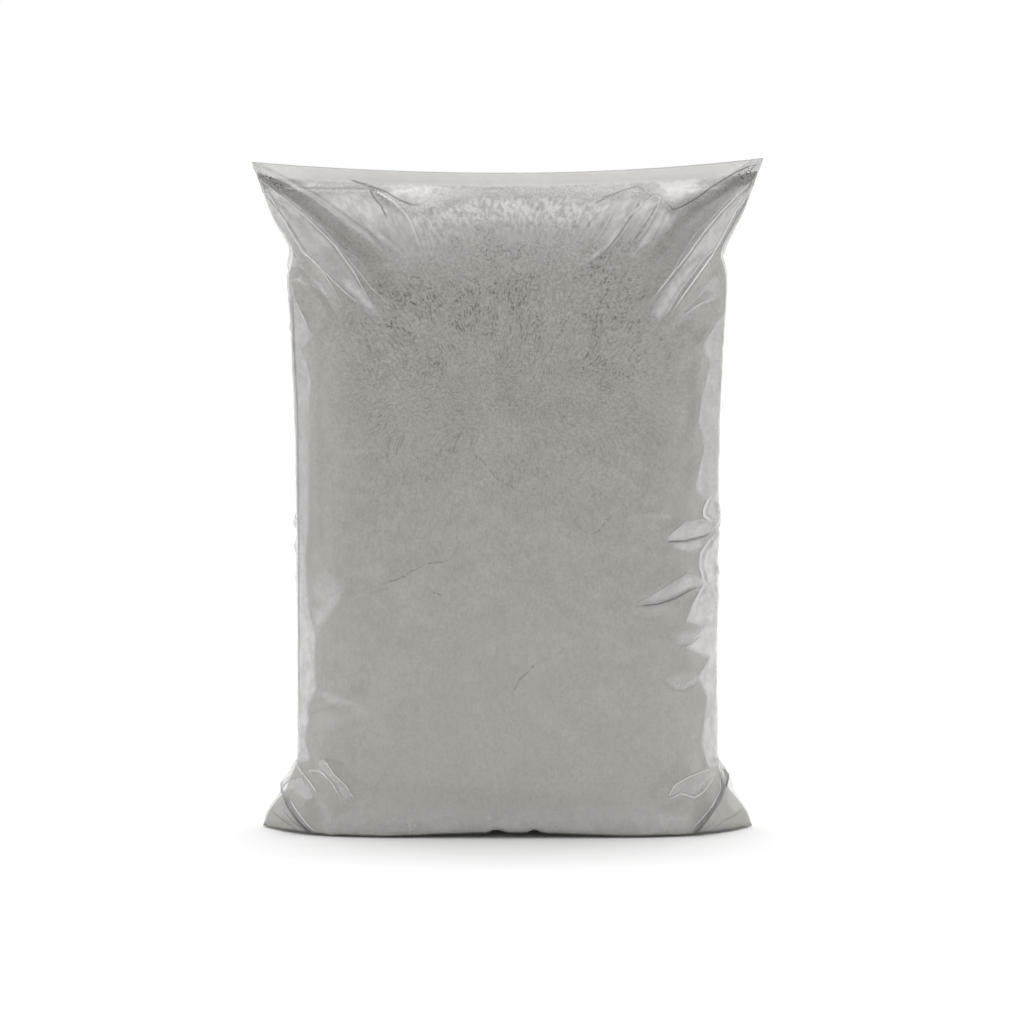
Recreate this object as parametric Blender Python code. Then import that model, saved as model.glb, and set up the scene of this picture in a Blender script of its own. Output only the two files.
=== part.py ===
"""A clear film sack of tile adhesive, standing on its squashed base.

The sack is a length of lay-flat film tube, welded across its bottom and its top. Powder fills it
from the floor almost to the top weld. Where the powder stops, the tube goes back to lying flat, so
its side creases run out to a pointed ear at each end of both welds.

Units are metres. X runs across the face, Y from the front to the back and Z up. The origin is on
the floor, under the middle of the sack.
"""

import math

import bmesh
import bpy
from mathutils import Matrix

# The film tube
LAY_FLAT_WIDTH = 0.400
FILM = 0.00015
CREASE_FOLD = 0.0010
WELD_HEIGHT = 0.010
VENT_RADIUS = 0.0015
VENT_COUNT = 5
VENT_SPACING = 0.050
VENT_HEIGHT = 0.474
VENT_PUNCH_STARTS = 0.012

# How the filled sack stands
TOP_EDGE_HEIGHT = 0.514
LEFT_EAR_RISE = 0.0085
RIGHT_EAR_RISE = 0.0115
EAR_RISE_STARTS = 0.400
BODY_WIDTH = 0.331
BODY_DEPTH = 0.141
SHOULDER_WIDTH = 0.344
SHOULDER_HEIGHT = 0.432
NECK_WIDTH = 0.3376
NECK_HEIGHT = 0.4525
BASE_DEPTH = 0.122
BASE_EAR_WIDTH = 0.386
BASE_EAR_HEIGHT = 0.044

# The powder
SETTLING_GAP = 0.0003
HEADSPACE = 0.014

# The mesh
POINTS_AROUND = 60
FINEST_STEP = 0.006
COARSEST_STEP = 0.026
STEP_GROWTH = 0.16
FINE_ZONE = 0.012

HALF_TUBE = LAY_FLAT_WIDTH / 2
HALF_BODY = BODY_WIDTH / 2
HALF_DEPTH = BODY_DEPTH / 2
HALF_BASE = BASE_EAR_WIDTH / 2
WELD_FOOT = TOP_EDGE_HEIGHT - WELD_HEIGHT
EAR_SIDE_SLOPE = 0.4
FLATTEST_RELIEF_DEPTH = 0.020

# Horizontal sections from the floor up: height, half width, half depth, and two shape numbers.
# The half depth at x is half_depth * (1 - (x / half_width) ** fullness) ** bluntness, so a
# bluntness of 1 gives the pointed section of an ear, and about 0.4 the round side of the body.
SECTIONS = (
    (0.000, HALF_BASE, BASE_DEPTH / 2, 6.0, 1.00),
    (0.012, HALF_BASE - 0.007, HALF_DEPTH - 0.0045, 5.0, 0.78),
    (0.027, HALF_BASE - 0.017, HALF_DEPTH - 0.002, 4.0, 0.58),
    (BASE_EAR_HEIGHT, HALF_BODY + 0.001, HALF_DEPTH - 0.0005, 3.3, 0.44),
    (0.090, HALF_BODY, HALF_DEPTH, 2.9, 0.40),
    (0.200, HALF_BODY, HALF_DEPTH - 0.001, 2.8, 0.41),
    (0.310, HALF_BODY + 0.001, HALF_DEPTH - 0.0045, 2.7, 0.42),
    (0.390, HALF_BODY + 0.004, HALF_DEPTH - 0.0135, 2.7, 0.45),
    (SHOULDER_HEIGHT, SHOULDER_WIDTH / 2, HALF_DEPTH - 0.024, 2.8, 0.50),
    (NECK_HEIGHT, NECK_WIDTH / 2, HALF_DEPTH - 0.032, 2.9, 0.56),
    (0.472, HALF_TUBE - 0.020, HALF_DEPTH - 0.042, 3.0, 0.70),
    (0.490, HALF_TUBE - 0.012, HALF_DEPTH - 0.056, 3.4, 0.85),
    (WELD_FOOT, HALF_TUBE - 0.0055, 0.0006, 4.0, 1.00),
)

# Folds that run out of each top ear: degrees below the top edge, where the fold starts and ends
# along its line, how proud it stands and how wide it is.
EAR_FOLDS = (
    (31.0, 0.020, 0.150, 0.0035, 0.010),
    (47.0, 0.020, 0.180, 0.0050, 0.010),
    (60.0, 0.025, 0.165, 0.0045, 0.009),
)
# Tucks where the front and back films turn under: place across, how deep and how wide.
BASE_TUCKS = (
    (-0.010, 0.0030, 0.0060),
    (0.022, 0.0026, 0.0055),
)
TUCK_HEIGHT = 0.014

FILM_COLOUR = (0.86, 0.86, 0.84, 0.30)
POWDER_COLOUR = (0.34, 0.32, 0.30, 1.0)


def clear_scene():
    for old in list(bpy.data.objects):
        bpy.data.objects.remove(old, do_unlink=True)


def new_collection(name):
    collection = bpy.data.collections.new(name)
    bpy.context.scene.collection.children.link(collection)
    return collection


def principled(name, colour, roughness):
    material = bpy.data.materials.new(name)
    material.use_nodes = True
    shader = material.node_tree.nodes["Principled BSDF"]
    shader.inputs["Base Color"].default_value = (*colour[:3], 1.0)
    shader.inputs["Alpha"].default_value = colour[3]
    shader.inputs["Roughness"].default_value = roughness
    shader.inputs["Metallic"].default_value = 0.0
    return material


def smooth_step(low, high, value):
    t = min(1.0, max(0.0, (value - low) / (high - low)))
    return t * t * (3.0 - 2.0 * t)


def section_at(height):
    """The shape numbers of the section at a height, on a smooth curve through SECTIONS."""
    last = len(SECTIONS) - 2
    k = next((i for i in range(last) if height < SECTIONS[i + 1][0]), last)
    before, low, high, after = (SECTIONS[min(max(i, 0), last + 1)] for i in range(k - 1, k + 3))
    span = high[0] - low[0]
    t = (height - low[0]) / span
    values = []
    for i in range(1, len(low)):
        leaving = (high[i] - before[i]) / (high[0] - before[0]) * span
        arriving = (after[i] - low[i]) / (after[0] - low[0]) * span
        values.append(
            (2 * t**3 - 3 * t**2 + 1) * low[i]
            + (t**3 - 2 * t**2 + t) * leaving
            + (3 * t**2 - 2 * t**3) * high[i]
            + (t**3 - t**2) * arriving
        )
    return values


def ear_lift(x, height):
    """How much higher the film stands at x than in the middle, because the top edge sags."""
    rise = LEFT_EAR_RISE if x < 0 else RIGHT_EAR_RISE
    share = smooth_step(EAR_RISE_STARTS, TOP_EDGE_HEIGHT, height)
    return rise * (x / HALF_TUBE) ** 2 * share


def fold_relief(x, height):
    """How far the ears' folds push the film out at a point of the face."""
    relief = 0.0
    for angle, start, end, proud, width in EAR_FOLDS:
        across = HALF_TUBE - abs(x)
        down = TOP_EDGE_HEIGHT - height
        slope = math.radians(angle)
        along = across * math.cos(slope) + down * math.sin(slope)
        aside = down * math.cos(slope) - across * math.sin(slope)
        middle = (start + end) / 2
        fade = smooth_step(start, middle, along) * (1.0 - smooth_step(middle, end, along))
        relief += proud * fade * math.exp(-((aside / width) ** 2))
    return relief


def tuck_relief(x, height):
    """How far the tucks along the floor draw the film in."""
    share = 1.0 - smooth_step(0.0, TUCK_HEIGHT, height)
    tucks = (depth * math.exp(-(((x - place) / width) ** 2)) for place, depth, width in BASE_TUCKS)
    return -share * sum(tucks)


def inner_face(angle, height):
    """A point of the film's inner face, by its angle round the section and its height."""
    half_width, half_depth, fullness, bluntness = section_at(height)
    x = half_width * math.cos(angle)
    share = max(0.0, 1.0 - abs(math.cos(angle)) ** fullness) ** bluntness
    room = min(1.0, 3.0 * share) * smooth_step(0.0, FLATTEST_RELIEF_DEPTH, half_depth)
    relief = (fold_relief(x, height) + tuck_relief(x, height)) * room
    side = 1.0 if math.sin(angle) > 0 else -1.0
    return x, side * (half_depth * share + relief), height


def ring(height, outset, crease):
    """One loop of points round the sack, moved out of the film's inner face by outset.

    crease is how much further each side crease reaches than the loop's own end.
    """
    points = []
    nudge = 0.01
    for i in range(POINTS_AROUND):
        angle = 2.0 * math.pi * i / POINTS_AROUND
        x, y, z = inner_face(angle, height)
        at_crease = i % (POINTS_AROUND // 2) == 0
        if at_crease:
            x, y = x + crease * math.copysign(1.0, x), 0.0
        else:
            ahead, behind = inner_face(angle + nudge, height), inner_face(angle - nudge, height)
            run, rise = ahead[0] - behind[0], ahead[1] - behind[1]
            length = math.hypot(run, rise)
            x, y = x + outset * rise / length, y - outset * run / length
        points.append((x, y, z + ear_lift(x, z)))
    return points


def flat_ring(height, half_thickness):
    """A loop of the top weld, where the two films are one flat band."""
    reach = HALF_TUBE - EAR_SIDE_SLOPE * (TOP_EDGE_HEIGHT - height)
    points = []
    for i in range(POINTS_AROUND):
        angle = 2.0 * math.pi * i / POINTS_AROUND
        x = reach * math.cos(angle)
        side = 0.0 if i % (POINTS_AROUND // 2) == 0 else math.copysign(half_thickness, math.sin(angle))
        points.append((x, side, height + ear_lift(x, height)))
    return points


def loft(name, rings):
    """A closed solid through the rings, capped at both ends by strips from front to back."""
    bm = bmesh.new()
    rows = [[bm.verts.new(point) for point in points] for points in rings]
    for lower, upper in zip(rows, rows[1:]):
        for i in range(POINTS_AROUND):
            j = (i + 1) % POINTS_AROUND
            bm.faces.new((lower[i], lower[j], upper[j]))
            bm.faces.new((lower[i], upper[j], upper[i]))
    half = POINTS_AROUND // 2
    for row in (rows[0], rows[-1]):
        for i in range(half):
            corners = [row[i], row[i + 1], row[(-i - 1) % POINTS_AROUND], row[-i % POINTS_AROUND]]
            bm.faces.new(list(dict.fromkeys(corners)))
    bmesh.ops.recalc_face_normals(bm, faces=bm.faces)
    mesh = bpy.data.meshes.new(name)
    bm.to_mesh(mesh)
    bm.free()
    return bpy.data.objects.new(name, mesh)


def row_heights():
    """Heights from the floor to the weld, close together near both ends and wider between."""
    heights = [0.0]
    while True:
        nearest_end = min(heights[-1], WELD_FOOT - heights[-1])
        step = min(COARSEST_STEP, FINEST_STEP + STEP_GROWTH * max(0.0, nearest_end - FINE_ZONE))
        if heights[-1] + 1.4 * step >= WELD_FOOT:
            return [*heights, WELD_FOOT]
        heights.append(heights[-1] + step)


def shade_round(obj):
    obj.data.shade_smooth()
    obj.data.set_sharp_from_angle(angle=math.radians(40.0))


def make_helper(obj, collection):
    """Puts away a cutter, or a piece that a Boolean joins to another."""
    for owner in list(obj.users_collection):
        owner.objects.unlink(obj)
    collection.objects.link(obj)
    obj.hide_render = True
    obj.display_type = "WIRE"
    return obj


def add_boolean(obj, other, operation):
    modifier = obj.modifiers.new(other.name, "BOOLEAN")
    modifier.operation = operation
    modifier.solver = "EXACT"
    modifier.object = other


def vent_cutters(collection):
    """Round punches through the back film, in a row under the top weld."""
    cutters = []
    for k in range(VENT_COUNT):
        x = (k - (VENT_COUNT - 1) / 2) * VENT_SPACING
        bpy.ops.mesh.primitive_cylinder_add(
            vertices=8,
            radius=VENT_RADIUS,
            depth=HALF_DEPTH,
            location=(x, HALF_DEPTH / 2 + VENT_PUNCH_STARTS, VENT_HEIGHT),
            rotation=(math.pi / 2, 0.0, 0.0),
        )
        cutter = bpy.context.object
        cutter.name = f"vent_punch_{k + 1}"
        cutters.append(make_helper(cutter, collection))
    return cutters


def base_weld(collection):
    """The bottom weld's band, folded back flat under the base."""
    bpy.ops.mesh.primitive_cube_add(size=1.0, location=(0.0, WELD_HEIGHT / 2, FILM))
    band = bpy.context.object
    band.name = "base_weld_band"
    size = (BASE_EAR_WIDTH + 2 * CREASE_FOLD, WELD_HEIGHT, 2 * FILM)
    band.data.transform(Matrix.Diagonal((*size, 1.0)))
    return make_helper(band, collection)


def make_film(parts, helpers):
    outer_rings = [ring(height, FILM, CREASE_FOLD) for height in row_heights()]
    weld_rings = [flat_ring(height, FILM) for height in (WELD_FOOT + 0.002, TOP_EDGE_HEIGHT)]
    film = loft("film_sack", outer_rings + weld_rings)
    parts.objects.link(film)

    cavity_rings = [ring(max(height, FILM), 0.0, 0.0) for height in row_heights()]
    cavity = loft("powder_cavity", cavity_rings)
    add_boolean(film, make_helper(cavity, helpers), "DIFFERENCE")
    for cutter in vent_cutters(helpers):
        add_boolean(film, cutter, "DIFFERENCE")
    add_boolean(film, base_weld(helpers), "UNION")
    film.data.materials.append(principled("clear_film", FILM_COLOUR, 0.15))
    shade_round(film)
    return film


def make_powder(parts):
    floor = 2 * FILM + SETTLING_GAP
    top = WELD_FOOT - HEADSPACE
    heights = [max(height, floor) for height in row_heights() if height < top]
    powder = loft("adhesive_powder", [ring(height, -SETTLING_GAP, -CREASE_FOLD) for height in heights])
    parts.objects.link(powder)
    powder.data.materials.append(principled("adhesive_powder", POWDER_COLOUR, 0.95))
    shade_round(powder)
    return powder


def main():
    clear_scene()
    parts = new_collection("tile_adhesive_bag")
    helpers = new_collection("helpers")
    make_film(parts, helpers)
    make_powder(parts)


main()
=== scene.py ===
import math

import bpy
import numpy as np
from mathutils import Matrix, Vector
from mathutils.geometry import delaunay_2d_cdt


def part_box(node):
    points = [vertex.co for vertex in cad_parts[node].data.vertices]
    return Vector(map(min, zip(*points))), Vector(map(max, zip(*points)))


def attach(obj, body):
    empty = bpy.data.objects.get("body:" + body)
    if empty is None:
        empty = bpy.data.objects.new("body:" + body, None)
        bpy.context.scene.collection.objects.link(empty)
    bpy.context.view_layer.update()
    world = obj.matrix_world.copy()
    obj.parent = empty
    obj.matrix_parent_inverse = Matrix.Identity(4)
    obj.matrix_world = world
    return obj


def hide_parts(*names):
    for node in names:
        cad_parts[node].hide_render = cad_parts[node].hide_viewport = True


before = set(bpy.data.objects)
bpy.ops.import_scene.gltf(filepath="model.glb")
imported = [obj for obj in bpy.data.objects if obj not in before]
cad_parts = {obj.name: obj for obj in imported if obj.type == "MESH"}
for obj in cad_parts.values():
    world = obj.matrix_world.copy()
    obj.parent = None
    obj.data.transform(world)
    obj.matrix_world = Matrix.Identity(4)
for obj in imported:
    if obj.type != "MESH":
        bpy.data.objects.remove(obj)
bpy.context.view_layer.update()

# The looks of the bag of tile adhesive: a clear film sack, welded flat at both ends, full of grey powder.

FILM_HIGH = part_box("film_sack")[1]
POWDER_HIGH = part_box("adhesive_powder")[1]

# The sack's sizes, from the reach of its film and its powder in the frame
LEFT_EAR_RISE = 0.0085
RIGHT_EAR_RISE = 0.0115
EAR_RISE_STARTS = 0.400
POWDER_PLAY = 0.0003
WELD_HEIGHT = 0.010
WELD_TAPER = 0.3
HALF_WELD = 0.0002
HALF_TUBE = FILM_HIGH.x
HALF_BODY = HALF_TUBE - 0.0345
HALF_BASE = HALF_TUBE - 0.007
HALF_DEPTH = POWDER_HIGH.y + POWDER_PLAY
BASE_HALF_DEPTH = HALF_DEPTH - 0.0095
TOP_EDGE_HEIGHT = FILM_HIGH.z - RIGHT_EAR_RISE
WELD_FOOT = TOP_EDGE_HEIGHT - WELD_HEIGHT
BASE_HEIGHT = 0.0004

# The arch of the front's bottom edge: half its span and its height; and its tucks: place, width and height
BASE_ARCH = (0.120, 0.0030)
BASE_TUCKS = ((-0.008, 0.0035, 0.0040), (0.0215, 0.0035, 0.0035))

# The vents in the back, in a row under the top weld
VENTS = 5
VENT_SPACING = 0.050
VENT_RADIUS = 0.0015
VENT_HEIGHT = 0.474

# Colours, as linear light
POWDER_DARK = (0.415, 0.399, 0.369)
POWDER_PALE = (0.525, 0.508, 0.474)
POWDER_SHADE = (0.276, 0.263, 0.241)
POWDER_CRACK = (0.060, 0.054, 0.047)
FILM_DUSTY = (0.515, 0.500, 0.470)
# The next colour is the film's milky tone, and also painted light where facets, sides and the bottom catch
# the light
FILM_MILK_AND_LIGHT = (0.860, 0.845, 0.812)
FILM_COATED = (0.400, 0.388, 0.362)
# The next colour is the whitening of the creases, and also the painted highlight on them
FILM_WHITENING_AND_HIGHLIGHT = (0.920, 0.905, 0.870)
# The next colour is painted shade in folds and creases, and the dust specks at the ear tips
FILM_SHADE_AND_DUST = (0.090, 0.076, 0.060)
FLOOR_WHITE = (0.84, 0.84, 0.84)

# Horizontal sections from the floor up: height, half width, half depth, fullness and bluntness.
SECTIONS = (
    (0.000, HALF_BASE, BASE_HALF_DEPTH, 6.0, 1.00),
    (0.012, HALF_BASE - 0.0035, HALF_DEPTH - 0.0045, 5.0, 0.78),
    (0.027, HALF_BASE - 0.0135, HALF_DEPTH - 0.002, 4.0, 0.58),
    (0.044, HALF_BODY + 0.0025, HALF_DEPTH - 0.0005, 3.3, 0.44),
    (0.090, HALF_BODY, HALF_DEPTH, 2.9, 0.40),
    (0.200, HALF_BODY, HALF_DEPTH - 0.001, 2.8, 0.41),
    (0.310, HALF_BODY + 0.001, HALF_DEPTH - 0.0045, 2.7, 0.42),
    (0.390, HALF_BODY + 0.004, HALF_DEPTH - 0.0135, 2.7, 0.45),
    (0.432, HALF_BODY + 0.0065, HALF_DEPTH - 0.024, 2.8, 0.50),
    (0.4525, HALF_BODY + 0.0033, HALF_DEPTH - 0.032, 2.9, 0.56),
    (0.472, HALF_TUBE - 0.0175, HALF_DEPTH - 0.042, 3.0, 0.70),
    (0.490, HALF_TUBE - 0.0095, HALF_DEPTH - 0.056, 3.4, 0.85),
    (WELD_FOOT, HALF_TUBE - 0.004, 0.0006, 4.0, 1.00),
)

# The film's grid, and how finely its shape is first drawn
CURVE_STEPS = 400
DENSE_ROWS = 240
BASE_ROWS = 24
ACROSS = 84
ROWS = 124
WELD_ROWS = 2

# How the film is relaxed, on this grid and then on a finer one: for how many rounds, how stiff it is,
# how firmly it is held to its shape, and how uneven it starts
REFINEMENTS = 1
ROUNDS = (200, 100)
BENDS = (0.03, 0.02)
HOLDS = (0.04, 0.03)
NOISE = (0.0004, 0.00015)
SEED = 7

# Where the right-hand side gathers more film than its height: how high up, over what reach, and how much
GATHERS = ((0.226, 0.018, 1.0), (0.185, 0.016, 0.9), (0.130, 0.020, 0.6), (0.365, 0.020, 0.6))

# The room's light: how bright it is all round, and its bright parts: the way to each one, where it starts
# and where it is full, as the cosine of the angle from that way, and how bright it is
ROOM_DIM = 0.22
ROOM_PARTS = (
    ((1.0, 0.0, 0.0), 0.55, 0.90, 0.9),
    ((0.0, 0.57, 0.82), 0.45, 0.85, 1.90),
)

# The studio's floor and lights: each light's name, its place, the point it looks at, its size and its power
FLOOR_HEIGHT = -0.0005
LIGHTS = (
    ("left_strip", (-1.7, -0.5, 0.75), (0, 0, 0.25), (0.9, 1.4), 3.5),
    ("right_strip", (1.7, -0.4, 0.70), (0, 0, 0.25), (0.9, 1.4), 3.5),
    ("top_strip", (0.0, -0.7, 1.6), (0, 0, 0.35), (1.6, 0.9), 3.3),
    ("low_card", (0.0, -0.32, 0.02), (0, 0, 0.02), (1.0, 0.03), 0.25),
)

# The camera, and where the photograph shows the sack
CAMERA_DISTANCE = 2.6
CAMERA_HEIGHT = 0.37
MM_PER_PIXEL = 0.7859
FRAME_PIXELS = 1024
SACK_PIXEL_X = 507.5
FLOOR_PIXEL_Y = 828

# Facets of the folds that the photograph shows, as lines over the front face: across, up and, where it
# stands proud, by how much, in millimetres. The film lies flat between a line and its neighbours.
LEFT_EAR = (
    ((-202, 527), (-170, 515), (-140, 511), (-100, 508), (-70, 507)),
    ((-199, 521), (-172, 506, 3), (-150, 494, 4.5), (-128, 478, 4.5), (-110, 465, 3.5), (-87, 443)),
    ((-200, 517), (-170, 494), (-138, 470, -1), (-112, 444, -0.5), (-96, 425)),
    ((-200, 514), (-158, 480, 5), (-134, 457, 6.5), (-118, 435, 5.5), (-107, 415, 3), (-98, 401)),
    ((-201, 512), (-160, 477, 4), (-137, 454, 5.2), (-121, 432, 4.3), (-110, 413, 2)),
    ((-201, 509), (-172, 474, 3.5), (-158, 452, 5), (-142, 435, 5), (-131, 417, 3.5), (-122, 401)),
    ((-202, 507), (-175, 471, 2.5), (-162, 449, 3.6), (-146, 431, 3.6), (-134, 414, 2)),
    ((-202, 504), (-182, 475), (-167, 451, -1), (-152, 433, -1), (-138, 414, -0.5), (-127, 397)),
    ((-178, 435), (-162, 430, 1.5), (-152, 424, 2), (-143, 413, 1), (-136, 403)),
    ((-178, 418), (-160, 417, -0.5), (-150, 409, -0.3), (-140, 399)),
    ((-206, 503), (-194, 468), (-184, 443), (-180, 413)),
)
RIGHT_EAR = (
    ((202, 531), (170, 518), (140, 513), (100, 509), (80, 508)),
    ((199, 523), (168, 509, 3), (146, 495, 3.5), (131, 487, 2.5), (124, 490, 1.5), (112, 501)),
    ((200, 519), (151, 485, -0.5), (132, 469, -0.5), (112, 440), (99, 423)),
    ((200, 516), (167, 484, 5), (151, 465, 6.5), (138, 447, 6.5), (123, 429, 5.5), (112, 415, 3.5),
        (101, 400)),
    ((201, 514), (170, 482, 4), (154, 463, 5.2), (141, 445, 5.2), (126, 427, 4.2), (115, 413, 2.4)),
    ((201, 511), (179, 485, 3), (171, 470, 4), (160, 450, 5), (145, 430, 5), (131, 411, 3.5), (117, 389)),
    ((202, 509), (182, 483, 2), (175, 468, 2.6), (164, 448, 3.6), (149, 428, 3.6), (135, 409, 2.2)),
    ((202, 506), (187, 481), (177, 461, -0.5), (168, 446, -1), (154, 426, -1), (139, 406, -0.5),
        (124, 386)),
    ((206, 503), (196, 468), (188, 443), (182, 418)),
)
UPPER_STAR = (
    ((118, 235), (130, 253), (150, 259), (172, 253)),
    ((120, 231), (136, 242, 2.2), (152, 244, 3), (164, 239, 2)),
    ((119, 229), (138, 229, -0.8), (152, 232, -1), (166, 236)),
    ((120, 227), (129, 222, 1), (140, 219, 1.6), (152, 222, 2), (165, 232, 1)),
    ((118, 217), (135, 207), (152, 207), (172, 221)),
)
LOWER_STAR = (
    ((96, 187), (120, 207), (150, 210), (172, 210)),
    ((98, 182), (124, 195, 2), (152, 198, 2.6), (166, 202, 1)),
    ((97, 180), (129, 187, -0.8), (153, 193, -0.8), (166, 196)),
    ((98, 178), (122, 180, 1), (143, 178, 1.8), (155, 184, 1.4), (166, 190)),
    ((98, 169), (125, 165), (146, 163), (172, 179)),
)
LEFT_BASE = (
    ((-178, 65), (-150, 65), (-130, 57), (-108, 41)),
    ((-162, 53), (-147, 49, 2.2), (-140, 43, 2.6), (-134, 36, 2), (-129, 28)),
    ((-162, 50, 1), (-157, 44, -1), (-151, 37, -1.8), (-147, 30, -1.4), (-145, 23)),
    ((-165, 51, 2.5), (-171, 40, 5), (-174, 31, 6), (-168, 20, 6), (-160, 13, 5), (-151, 5, 3.5),
        (-138, 2, 1)),
    ((-169, 53, -1), (-175, 41, -1.5), (-178, 31, -2), (-171, 17, -2), (-162, 7, -2), (-153, 2.5, -1)),
    ((-184, 59), (-188, 43), (-196, 23), (-200, 4), (-170, -4), (-130, -4), (-106, 19)),
)
RIGHT_BASE = (
    ((178, 65), (150, 65), (130, 57), (112, 39)),
    ((120, 28), (133, 40, 2.4), (146, 48, 3), (157, 53, 1)),
    ((122, 24), (137, 30, -1.2), (148, 34, -1.4), (155, 43, -0.5)),
    ((146, 21, 1), (151, 31, 1.5), (157, 41, 2), (162, 49, 2.4)),
    ((165, 51, 2.5), (169, 45, 4.5), (170, 40, 5.5), (167, 34, 6), (162, 28, 6), (156, 19, 6),
        (148, 7, 4), (138, 2, 1)),
    ((169, 53, -1), (174, 45, -1), (175, 39, -1.5), (171, 32, -2), (166, 26, -2), (160, 17, -2),
        (151, 4.5, -1)),
    ((184, 59), (188, 43), (196, 23), (200, 4), (170, -4), (130, -4), (108, 17)),
)
FACETS = (LEFT_EAR, RIGHT_EAR, UPPER_STAR, LOWER_STAR, LEFT_BASE, RIGHT_BASE)

# Single folds: the line of each crest over the front face, how proud it stands, and how wide its flanks are
# to the left and to the right of the line, in millimetres.
CRESTS = (
    (((-109, 502), (-99, 496), (-84, 487), (-73, 467), (-67, 450)), 1.6, 5, 8),
    (((-107, 496), (-95, 472), (-81, 449)), 1.1, 5, 5),
    (((-118, 487), (-104, 469), (-90, 449)), 1.1, 5, 7),
    (((-64, 492), (-50, 479), (-42, 465)), 0.9, 5, 7),
    (((81, 492), (68, 468), (53, 447)), 1.1, 6, 5),
    (((100, 503), (86, 469), (74, 455), (65, 443)), 1.7, 7, 6),
    (((115, 497), (98, 465), (84, 441)), 1.4, 5, 4),
    (((121, 493), (113, 478), (103, 463)), 0.9, 3, 3),
    (((127, 487), (115, 469), (101, 450)), 1.3, 4, 5),
    (((131, 398), (151, 413), (169, 420)), 2.4, 8, 5),
    (((143, 372), (157, 391), (169, 407)), 2.2, 8, 4),
    (((-170, 423), (-160, 402), (-151, 385), (-149, 367)), 1.2, 8, 4),
    (((91, 249), (110, 250), (131, 248)), 0.9, 4, 4),
    (((103, 224), (115, 219), (128, 214)), 0.7, 3, 4),
    (((91, 171), (109, 166), (126, 166)), 0.7, 4, 3),
    (((125, 153), (141, 149), (157, 159)), 1.4, 3, 6),
    (((134, 140), (147, 133), (159, 137)), 1.2, 3, 5),
    (((119, 122), (129, 113), (140, 111), (152, 121)), 1.4, 3, 6),
    (((149, 379), (151, 352), (150, 321), (151, 275), (158, 261)), 0.7, 3, 9),
    (((158, 259), (152, 249), (160, 239), (162, 232), (149, 213), (153, 197)), 1.2, 4, 5),
    (((153, 197), (144, 178), (130, 155)), 0.9, 4, 8),
    (((-147, 139), (-141, 163), (-128, 181), (-118, 193)), 0.9, 7, 9),
    (((-158, 103), (-147, 94), (-125, 105), (-108, 115)), 0.9, 5, 8),
    (((-150, 77), (-143, 62), (-136, 50), (-124, 40)), 1.3, 7, 5),
    (((-150, 303), (-120, 299), (-92, 303)), 0.5, 5, 5),
    (((-152, 273), (-124, 265), (-98, 265)), 0.5, 5, 5),
    (((84, 303), (100, 295), (112, 283)), 0.5, 4, 6),
    (((76, 289), (92, 279), (106, 265)), 0.5, 4, 6),
)

# The powder's wavy upper edge, and the cracks that show in it, as lines over the front face, in millimetres
POWDER_TOP = (
    (-200, 515), (-180, 509), (-160, 503), (-139, 503), (-121, 504), (-110, 502), (-99, 498), (-86, 491),
    (-73, 487), (-64, 489), (-45, 497), (-21, 501), (2, 502), (25, 502), (41, 501), (60, 499), (72, 500),
    (88, 499), (103, 502), (113, 500), (119, 495), (126, 488), (142, 492), (160, 503), (180, 511),
    (200, 517),
)
CRACKS = (
    ((-98, 195), (-85, 200), (-70, 207), (-61, 212), (-54, 213), (-43, 215)),
    ((-27, 297), (-16, 287), (-8, 277), (9, 267)),
    ((22, 136), (8, 122), (4, 113)),
    ((80, 248), (65, 234)),
    ((-58, 191), (-49, 186)),
    ((-89, 421), (-83, 414), (-76, 409)),
    ((-40, 402), (-38, 393)),
    ((-23, 432), (-21, 414)),
    ((0, 425), (4, 411), (4, 402), (1, 395), (3, 385)),
    ((50, 407), (45, 396), (38, 381)),
    ((-79, 432), (-67, 430), (-66, 422)),
    ((-12, 367), (-12, 358)),
    ((18, 436), (18, 425)),
    ((66, 395), (62, 375)),
    ((-60, 407), (-56, 391)),
    ((28, 458), (33, 447), (30, 439)),
)
CRACK_REACH = 0.007
FILM_GAP = 0.0005
POWDER_ROWS = 120
POWDER_EDGE_RADIUS = 0.010

# The lines in which the powder slid down fan out from a point on the front face
FLOW_CENTRE = 0.28
FLOW_WIDTH = 0.16
FLOW_STRETCH = 0.35

# The back's folds are the front's, turned left to right and moved
BACK_STRETCH = -0.97
BACK_SHIFT = (-0.004, 0.003)

# The painted light and shade of the sides: how far from the side creases it is alike front and back, and how
# soft it is
SIDE_BLEND = 0.035
SIDE_PASSES = 50
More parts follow.
